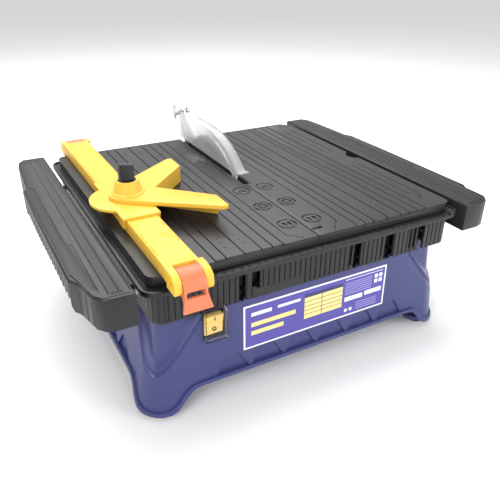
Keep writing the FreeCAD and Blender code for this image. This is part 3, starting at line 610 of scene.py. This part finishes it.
for i in range(-14, 20):
    ticks.append(add_number(str(abs(i)), 10.0 * i, -200.2, 172.0, 4.2))
ledge_scale = join(ticks, "ledge_scale")
tray = join([tray, ledge_scale] + backing, "frame_tray")
smooth(tray, 35)
finish_piece(tray, "base", BLACK, ["table_frame"])


# %% [markdown]
# The blue base.  The moulding is a flared tub.  A large soft V is pressed into each
# corner, a zig-zag step runs round the foot of the walls, and a bead follows the
# arched lower edge.  The wall starts as a flat grid whose vertices are moved in code
# onto the flared outline, eased inwards inside the V; it is then given its thickness
# and cut with outlines.

# %% Shape of the flared wall and of the V
def flare(low, high, z, z_low=0.0, z_high=140.0):
    return low + (high - low) * (z - z_low) / (z_high - z_low)


def corner_station(u, half_x, half_y, radius):
    """Point on one rounded corner and its straight walls; u is the arc length from
    the corner's diagonal, negative towards the front or rear wall."""
    arc = radius * math.pi / 4
    if abs(u) <= arc:
        a = math.pi / 4 + u / radius
        return half_x - radius + radius * math.sin(a), half_y - radius + radius * math.cos(a)
    if u < 0:
        return half_x - radius - (-u - arc), half_y
    return half_x, half_y - radius - (u - arc)


def wall_point(u, z):
    """One wall point in the quadrant of positive x and y, with the V eased in."""
    outer = corner_station(u, flare(215, 192.5, z), flare(197, 193.8, z), flare(34, 26, z))
    inner = corner_station(u, flare(195.5, 188.5, z, 60, 140), flare(186.5, 184.5, z, 60, 140), 15.0)
    lean = math.hypot(1.0, 1.5)
    arms = [(z - 52.0 - 1.5 * abs(u - 2.0)) / lean, (z - 57.0 - 0.25 * abs(u - 2.0))]
    across = -7.0 * math.log(sum(math.exp(-a / 7.0) for a in arms))
    weight = min(max(across / 10.0, 0.0), 1.0)
    dip = 2.8 * math.exp(-((across + 2.4) / 2.0) ** 2)
    x = outer[0] + (inner[0] - outer[0]) * weight
    y = outer[1] + (inner[1] - outer[1]) * weight
    outward = Vector((outer[0] - 120, outer[1] - 120)).normalized()
    if u < -40:
        outward = Vector((0, 1))
    if u > 40:
        outward = Vector((1, 0))
    return x - outward.x * dip, y - outward.y * dip


# %% Blue wall from a grid
REACH_U = 84.0
quarter = [-REACH_U + 1.75 * i for i in range(int(2 * REACH_U / 1.75) + 1)]
levels = [0.0, 10.0, 20.0, 30.0, 38.0] + [42.0 + 1.5 * i for i in range(65)] + [140.0]
stations = []
for sx, sy, order in ((-1, -1, 1), (-1, 1, -1), (1, 1, 1), (1, -1, -1)):
    for u in quarter[::order]:
        stations.append((sx, sy, u))
stations.append(stations[0])
bpy.ops.object.select_all(action="DESELECT")
bpy.ops.mesh.primitive_grid_add(x_subdivisions=len(stations) - 1, y_subdivisions=len(levels) - 1, size=1)
wall = settle("base_wall")
columns = len(stations)
for index, vertex in enumerate(wall.data.vertices):
    sx, sy, u = stations[index % columns]
    z = levels[index // columns]
    x, y = wall_point(u, z)
    vertex.co = at((sx * x, sy * y, z))
only(wall)
bpy.ops.object.mode_set(mode="EDIT")
bpy.ops.mesh.select_all(action="SELECT")
bpy.ops.mesh.remove_doubles(threshold=0.00001)
bpy.ops.mesh.normals_make_consistent(inside=False)
bpy.ops.object.mode_set(mode="OBJECT")
bpy.ops.object.modifier_add(type="SOLIDIFY")
shell = wall.modifiers[-1]
shell.thickness = 3.4 * MM
shell.offset = -1.0
bpy.ops.object.modifier_apply(modifier=shell.name)
print("wall polygons:", len(wall.data.polygons))


# %% Arches, zig-zag step and openings
def mirrored(points):
    return points + [(-a, b) for a, b in reversed(points)]


ARCH = [(-200, -1), (-200, 7.5), (-192, 7.9), (-184, 9.4), (-178, 12.4), (-174, 16), (-167, 25.5),
        (-161, 31.5),
        (-156, 34.6), (-149, 36)]
CREASE = [(-200, 80), (-200, 12.5), (-194, 13.0), (-187, 14.8), (-181, 18.2), (-176, 22), (-169, 31),
          (-163, 36.6),
          (-157, 39.6), (-150, 40.5)]


def shifted(points, shift):
    return [(a + shift, b) for a, b in points]


def arch_cutters():
    return [add_outline("arch", mirrored(ARCH), "y", -230, 230),
            add_outline("arch", mirrored(shifted(ARCH, SIDE_INSET)), "x", -230, 230)]


INNER_END = 190.0        # a block's corners nearer the middle than this are its inner end
SIDE_INSET = 15          # the side walls are shorter, so their arches start this much further in


def wall_block(name, outline, face, depth):
    """A prism standing on one wall; its inner end follows the slope of the wall."""
    axis, sign = face
    obj = add_outline(name, outline, axis, sign * 180, sign * 230)
    for vertex in obj.data.vertices:
        z = vertex.co.z / MM
        out = flare(215, 192.5, z) if axis == "x" else flare(197, 193.8, z)
        index = 0 if axis == "x" else 1
        shift = TABLE_X if axis == "x" else 0.0
        if abs(vertex.co[index] / MM - shift) < INNER_END:
            vertex.co[index] = (sign * (out - depth) + shift) * MM
    return obj


FACES = (("y", -1), ("y", 1), ("x", -1), ("x", 1))
for cutter in arch_cutters():
    boolean(wall, cutter)
boolean(wall, add_box("sole_cut", (-230, -230, -5), (230, 230, 7.5)))
steps = []
for face in FACES:
    for i in range(6):
        a = 45.05 * i
        outline = [(-129.0 + a, 40.0), (-119.3 + a, 61.5), (-100.6 + a, 61.5), (-88.0 + a, 40.0)]
        steps.append(wall_block("step", outline, face, 2.6))
boolean(wall, steps)
holes = [add_box("switch_hole", (-144, -205, 92.8), (-117, -180, 130.2)),
         add_rod("cord_hole", "y", (-150, 195, 70), 30, 8.1)]
holes += [wall_block("pocket", [(x0 - 2, 141), (x0 - 2, 133), (x0, 133), (x1, 127.5), (x1, 131.5),
                                (x1 + 5, 131.5),
                                 (x1 + 5, 141)], ("y", -1), 8.0)
          for x0, x1 in ((-102.8, -94.4), (46.8, 56.9), (92.2, 106.5), (143.5, 155.2))]
boolean(wall, holes)
print("wall polygons:", len(wall.data.polygons))


# %% Bead round the lower edge, floor and feet sockets
def rounded_outline(half_x, half_y, radius, steps=10):
    points = []
    for sx, sy, start in ((1, 1, 0), (-1, 1, 90), (-1, -1, 180), (1, -1, 270)):
        for i in range(steps + 1):
            a = math.radians(start + 90 * i / steps)
            points.append((sx * (half_x - radius) + radius * math.cos(a),
                           sy * (half_y - radius) + radius * math.sin(a)))
    return points


def flared_block(name, grow, low, high):
    bottom = (flare(215, 192.5, low) + grow, flare(197, 193.8, low) + grow)
    top = (flare(215, 192.5, high) + grow, flare(197, 193.8, high) + grow)
    obj = add_outline(name, rounded_outline(bottom[0], bottom[1], flare(34, 26, low) + grow), "z", low, high)
    for vertex in obj.data.vertices:
        if vertex.co.z > (low + high) / 2 * MM:
            vertex.co.x = (vertex.co.x - TABLE_X * MM) * top[0] / bottom[0] + TABLE_X * MM
            vertex.co.y *= top[1] / bottom[1]
    return obj


bead = flared_block("bead", 2.6, 7.5, 46.0)
boolean(bead, flared_block("inside", -2.5, 2.0, 47.0))
for cutter in arch_cutters():
    boolean(bead, cutter)
boolean(bead, add_outline("above", mirrored(CREASE), "y", -230, 230))
boolean(bead, add_outline("above", mirrored(shifted(CREASE, SIDE_INSET)), "x", -230, 230))
corners = [add_box("corner", (min(sx * 200, sx * 230), min(sy * 185, sy * 230), 12.5),
                   (max(sx * 200, sx * 230), max(sy * 185, sy * 230), 80))
           for sx in (-1, 1) for sy in (-1, 1)]
boolean(bead, corners)
soften(bead, 0.9, 2, 40)

floor_low = add_box("floor", (-178, -178, 30.2), (178, 178, 33.9))
upstand = add_box("upstand", (-180, -180, 30.2), (180, 180, 39.4))
boolean(upstand, add_box("hollow", (-176.5, -176.5, 29), (176.5, 176.5, 41)))
floor_high = flared_block("shelf", -2.0, 36.4, 39.4)
boolean(floor_high, add_box("hollow", (-178, -178, 35), (178, 178, 41)))
boolean(floor_low, add_box("tray_hole", (-15.5, -45.5, 20), (150.5, 184.5, 60)))
posts = [add_rod("post", "z", (sx * 173, sy * 176, 86.9), 106, 6, 24) for sx in (-1, 1) for sy in (-1, 1)]
soles = []
for sx in (-1, 1):
    for sy in (-1, 1):
        sole = add_rod("sole", "z", (sx * 188, sy * 173, 11.0), 5.0, 20, 40)
        soles.append(sole)
base = join([wall, bead, floor_low, upstand, floor_high] + posts + soles, "base_tub_moulding")
smooth(base, 30)
finish_piece(base, "base", BLUE, ["base_tub"])
pads = [soften(add_rod("pad", "z", (sx * 191, sy * 175, 4.6), 9.2, 11, 40, 12.5), 1.0, 2, 40)
        for sx in (-1, 1) for sy in (-1, 1)]
finish_piece(smooth(join(pads, "rubber_pads")), "base", RUBBER, ["rubber_feet"])


# %% [markdown]
# The printed sheet on the front wall.  It is laid out as a violet field with a pale
# border, a yellow table and pale strips.  Where the real sheet carries words there
# are only plain bars.

# %% Label sheet on the front wall
def on_wall(x0, x1, z0, z1, height, material):
    patch = add_box("patch", (x0, -1, z0), (x1, 0, z1))
    for vertex in patch.data.vertices:
        z = vertex.co.z / MM
        outside = vertex.co.y < -0.5 * MM
        vertex.co.y = (-flare(197, 193.8, z) - (height if outside else -0.3)) * MM
    patch.data.materials.append(material)
    return patch


sheet = [on_wall(-95.6, 103.8, 63, 120, 0.35, SHEET_WHITE),
         on_wall(-93.4, 101.6, 65.2, 117.8, 0.45, SHEET_FIELD),
         on_wall(-16, 38, 79, 112, 0.55, SHEET_YELLOW), on_wall(-16, 38, 107.5, 112, 0.62, SHEET_DARK)]
sheet += [on_wall(-16, 38, z, z + 0.7, 0.62, SHEET_DARK) for z in (84.5, 90, 95.5, 101.5)]
sheet += [on_wall(8, 8.8, 79, 107.5, 0.62, SHEET_DARK)]
bars = [(-86, -60, 105, 109.5), (-52, -22, 106, 109.5), (42, 98, 114.2, 115), (42, 69, 84.5, 90.5),
        (72, 98, 85.5, 91.5)]
sheet += [on_wall(x0, x1, z0, z1, 0.55, SHEET_WHITE) for x0, x1, z0, z1 in bars]
sheet += [on_wall(x0, x1, z0, z1, 0.55, SHEET_YELLOW) for x0, x1, z0, z1 in
          ((-86, -28, 91, 96.5), (-86, -44, 80, 85.5))]
fine = [(42, 82, z, z + 1.3) for z in (94, 97, 100, 103, 106, 109)]
fine += [(60, 92, z, z + 1.2) for z in (69, 72, 75, 78)]
sheet += [on_wall(x0, x1, z0, z1, 0.55, SHEET_PALE) for x0, x1, z0, z1 in fine]
sheet += [on_wall(x, x + 5, z, z + 5, 0.55, SHEET_WHITE) for x in (86, 93) for z in (99, 106)]
sheet += [on_wall(x, x + 4, 70, 74, 0.55, SHEET_WHITE) for x in (43, 50)]
label = join(sheet, "label_sheet_print")
finish_piece(label, "base", None, ["rating_label"])


# %% [markdown]
# The switch: a black snap-in body, a lit amber rocker with its two usual marks, and a
# soft clear boot.  All three start from their CAD parts and get rounded edges.

# %% Switch pieces
rocker = merged_copy("rocker_switch", "rocker_amber_cap")
for vertex in rocker.data.vertices:
    if abs(vertex.co.z / MM - 111.5) < 3 and vertex.co.y / MM < -188:
        vertex.co.y -= 3.8 * MM
soften(rocker, 0.8, 3, 40)
rocker.data.materials.append(AMBER)
mark_on = add_box("mark", (-131.1, -196.8, 116.5), (-129.9, -195.0, 121.0))
mark_off = tube("mark", "y", (-130.5, -193.0, 104.5), 3.4, 2.6, 1.7, 24)
for mark in (mark_on, mark_off):
    mark.data.materials.append(KNOB)
rocker = join([rocker, mark_on, mark_off], "rocker_amber_cap")
smooth(rocker, 35)
finish_piece(rocker, "rocker", None, ["rocker_switch"])
housing = soften(merged_copy("switch_body", "switch_frame"), 0.5, 2, 40)
finish_piece(smooth(housing), "base", KNOB, ["switch_body"])
boot = soften(merged_copy("switch_cover", "switch_boot"), 1.0, 3, 40)
finish_piece(smooth(boot), "base", BOOT, ["switch_cover"])


# %% [markdown]
# The two sliding wings.  Each is a hollow shelf with a rounded rim, long shallow
# grooves on top and a fluted outer wall that is cut away below the hand grip.  One
# recipe makes both, mirrored.

# %% Wings
def round_edges_at(obj, height, width, segments):
    """Round the sharp edges that lie in one horizontal plane."""
    only(obj)
    bpy.ops.object.mode_set(mode="EDIT")
    bpy.ops.mesh.select_mode(type="EDGE")
    bpy.ops.mesh.select_all(action="DESELECT")
    bpy.ops.object.mode_set(mode="OBJECT")
    vertices = obj.data.vertices
    for edge in obj.data.edges:
        edge.select = all(abs(vertices[i].co.z - height * MM) < 0.00005 for i in edge.vertices)
    bpy.ops.object.mode_set(mode="EDIT")
    bpy.ops.mesh.bevel(offset=width * MM, segments=segments)
    bpy.ops.object.mode_set(mode="OBJECT")
    return obj


def wing(node, name, side, inner_x, columns):
    shelf = merged_copy(node, name)
    for vertex in shelf.data.vertices:
        spread = 1 + 0.17 * smoothstep(-165, -195, vertex.co.y / MM) * (side > 0)
        vertex.co.x = at((inner_x + (vertex.co.x / MM - TABLE_X - inner_x) * spread, 0, 0)).x
    round_edges_at(shelf, TABLE, 2.6, 4)
    lines = [[(inner_x + side * x, y0), (inner_x + side * x, y1)] for x, y0, y1 in columns]
    lines.append([(inner_x + side * x, y) for x, y in
                  ((36, -77), (36, 84), (43, 92), (47.5, 88), (46.5, -150), (41.5, -170), (38.5, -195),
                   (30, -206),
                   (5, -206.5))])
    lines.append([(inner_x + side * x, y) for x, y in ((42, 100), (38, 176), (34, 196), (6, 200.5))])
    boolean(shelf, [strip("line", points, 1.1, TABLE - 0.9, ABOVE) for points in lines], overlap=True)
    flutes = [(50.9, -156, 21, 0.0), (44.3, 98, 8, -0.55)]
    cuts = []
    for x, y, count, drift in flutes:
        row = add_rod("flute", "z", (inner_x + side * (x + 0.9), y, 162), 33, 2.6, 20)
        cuts.append(repeat(row, count, (side * drift, 12, 0)))
    for x, y in ((39.0, -197), (41.6, -185), (44.4, -173)):
        reach = x * (1 + 0.17 * smoothstep(-165, -195, y) * (side > 0)) + 0.4
        cuts.append(add_rod("flute", "z", (inner_x + side * reach, y, 162), 33, 2.2, 20))
    boolean(shelf, cuts)
    low_x, high_x = sorted((inner_x + side * 41, inner_x + side * 60))
    boolean(shelf, add_outline("grip", [(-163, 148), (-158, 160), (82, 160), (87, 148)], "x", low_x, high_x))
    scallop = add_rod("scallop", "x", (inner_x + side * 51, -156, 159.5), 8, 3.4, 20)
    boolean(shelf, repeat(scallop, 20, (0, 12, 0)))
    soften(shelf, 0.5, 2, 50)
    smooth(shelf, 35)
    return shelf


left_wing = wing("left_wing", "wing_left", -1, -214.5,
                 [(3, -202, 198), (13, -199, 190), (23, -200, 186), (30, -190, -90)])
finish_piece(left_wing, "left_extension", BLACK, ["left_wing"])
right_wing = wing("right_wing", "wing_right", 1, 207.0,
                  [(3, -202, 198), (10, -199, 190), (17, -200, 186), (24, -190, 180), (31, -180, 120)])
finish_piece(right_wing, "right_extension", BLACK, ["right_wing"])


# %% [markdown]
# The yellow fence with its orange cam levers, and the mitre guide that straddles it.
# Injection-moulded corners are never sharp, so each CAD part is copied and rounded;
# the fence gets its row of shallow scale marks.

# %% Fence and levers
rail = merged_copy("fence_rail", "fence_moulding")
marks = [repeat(add_box("mark", (-183.2, -180.2, 198.6), (-178.5, -179.8, 200)), 37, (0, 10, 0)),
         repeat(add_box("mark", (-154.5, -180.2, 198.6), (-149.8, -179.8, 200)), 37, (0, 10, 0))]
soften(rail, 1.2, 3, 45)
boolean(rail, marks)
smooth(rail, 35)
finish_piece(rail, "fence", YELLOW, ["fence_rail"])
for node, body in (("front_lever", "front_clamp"), ("rear_lever", "rear_clamp")):
    lever = merged_copy(node, node + "_moulding")
    for vertex in lever.data.vertices:
        flaring = 1 + 0.28 * smoothstep(174, 157, vertex.co.z / MM)
        vertex.co.x = at((-164.5 + (vertex.co.x / MM - TABLE_X + 164.5) * flaring, 0, 0)).x
        if vertex.co.z < TABLE * MM:
            vertex.co.z = (TABLE + (vertex.co.z / MM - TABLE) * 0.76) * MM
    y0, y1 = (-242, -222) if node == "front_lever" else (222, 242)
    boolean(lever, add_box("slot", (-174.1, y0, 176.2), (-154.9, y1, 181.4)))
    soften(lever, 0.6, 3, 40)
    finish_piece(smooth(lever, 40), body, ORANGE, [node])

# %% Mitre guide
saddle = merged_copy("mitre_saddle", "mitre_saddle_plate")
soften(saddle, 0.9, 3, 45)
finish_piece(smooth(saddle, 35), "mitre_slide", YELLOW, ["mitre_saddle"])
vee = merged_copy("mitre_vee", "mitre_arms")
soften(vee, 1.4, 3, 45)
fillet = add_ring("fillet", (-163, -35, 207.6), 17.0, 2.4, 64)
vee = join([vee, fillet], "mitre_arms")
finish_piece(smooth(vee, 35), "mitre_head", YELLOW, ["mitre_vee"])
knob = merged_copy("mitre_knob", "mitre_knob_grip")
boolean(knob, add_outline("slant", [(-174, 243.5), (-152, 240.0), (-152, 260), (-174, 260)], "y", -50, -20))
soften(knob, 0.8, 3, 40)
finish_piece(smooth(knob, 35), "mitre_lock", KNOB, ["mitre_knob"])


# %% [markdown]
# The clear guard.  It is a thin moulded channel, so its rim gets a small round edge
# that catches the light, and the frosted material does the rest.

# %% Blade guard
guard = soften(merged_copy("blade_guard", "guard_moulding"), 0.45, 2, 40)
finish_piece(smooth(guard, 35), "guard", FROST, ["blade_guard"])


# %% [markdown]
# Everything else is a standard or hidden part whose CAD shape is already right.  Those
# parts keep their shape and receive a fitting material.

# %% Materials for the parts kept from the CAD model
KEPT = {
    ZINC: ["frame_screws", "plate_screws", "tilt_pins", "motor_screws", "knife_screws", "guard_bolt",
           "lever_pins",
           "arbor_nut", "tilt_stay", "outer_flange", "inner_flange"],
    STEEL: ["left_wing_rods", "right_wing_rods", "motor_shaft", "motor_bearings", "riving_knife"],
    BLADE: ["diamond_blade"], LAMINATION: ["rotor_core", "stator_core"],
    ALLOY: ["motor_front_bell", "motor_rear_bell", "run_capacitor"],
    PAINT: ["motor_housing", "motor_bracket"],
    RUBBER: ["cable_gland"], TRAY: ["water_tray", "splash_wall", "knife_bracket", "knife_clamp"],
    BUSH: ["rod_sleeves", "cooling_fan", "guard_nut"]}
for material, nodes in KEPT.items():
    for node in nodes:
        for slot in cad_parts[node].material_slots:
            slot.material = material
print("kept parts:", sum(len(nodes) for nodes in KEPT.values()))


# %% [markdown]
# The stage: a plain pale floor under soft, even studio light from above and from the
# front left, seen from a little above with the near left corner towards the viewer.

# %% Floor and light
bpy.ops.object.select_all(action="DESELECT")
bpy.ops.mesh.primitive_plane_add(size=12, location=(0, 0, 0))
floor = bpy.context.object
floor.name = "studio_floor"
floor.data.materials.append(plastic("studio_paper", (0.86, 0.86, 0.86), (0.88, 0.88, 0.88),
                                    (0.9, 0.9, 0.9), 0.9, 300, 0.02, 0.0, 2.0))

world = bpy.data.worlds.new("studio")
bpy.context.scene.world = world
world.use_nodes = True
world.node_tree.nodes["Background"].inputs["Color"].default_value = (1.0, 1.0, 1.0, 1.0)
world.node_tree.nodes["Background"].inputs["Strength"].default_value = 0.75


def soft_box(name, place, target, size, power):
    bpy.ops.object.select_all(action="DESELECT")
    aim = (Vector(target) - Vector(place)).to_track_quat("-Z", "Y").to_euler()
    bpy.ops.object.light_add(type="AREA", location=place, rotation=aim)
    lamp = bpy.context.object
    lamp.name = name
    lamp.data.shape = "SQUARE"
    lamp.data.size = size
    lamp.data.energy = power
    return lamp


soft_box("overhead", (0.1, 0.7, 1.5), (0, 0, 0.1), 1.6, 38)
soft_box("front_left", (-1.3, -1.2, 1.2), (0, 0, 0.1), 0.8, 20)
soft_box("front_right", (1.0, -1.6, 0.7), (0, 0, 0.1), 0.7, 14)
print("stage:", floor.name, "and three soft boxes")

# %% Colour handling
bpy.context.scene.view_settings.view_transform = "Standard"
print("view transform:", bpy.context.scene.view_settings.view_transform)

# %% Camera
AZIMUTH, ELEVATION, ROLL = (math.radians(d) for d in (-29.15, 28.61, 0.69))
back = Vector((math.sin(AZIMUTH) * math.cos(ELEVATION), -math.cos(AZIMUTH) * math.cos(ELEVATION),
               math.sin(ELEVATION)))
level = Vector((math.cos(AZIMUTH), math.sin(AZIMUTH), 0))
rise = back.cross(level)
side = level * math.cos(ROLL) + rise * math.sin(ROLL)
head = rise * math.cos(ROLL) - level * math.sin(ROLL)
bpy.ops.object.camera_add(location=(-0.33116, -0.63662, 0.46470),
                          rotation=Matrix((side, head, back)).transposed().to_euler())
camera = bpy.context.object
camera.data.lens = 40.70
camera.data.sensor_width = 36.0
camera.data.dof.use_dof = False
bpy.context.scene.camera = camera
print("camera lens:", camera.data.lens)
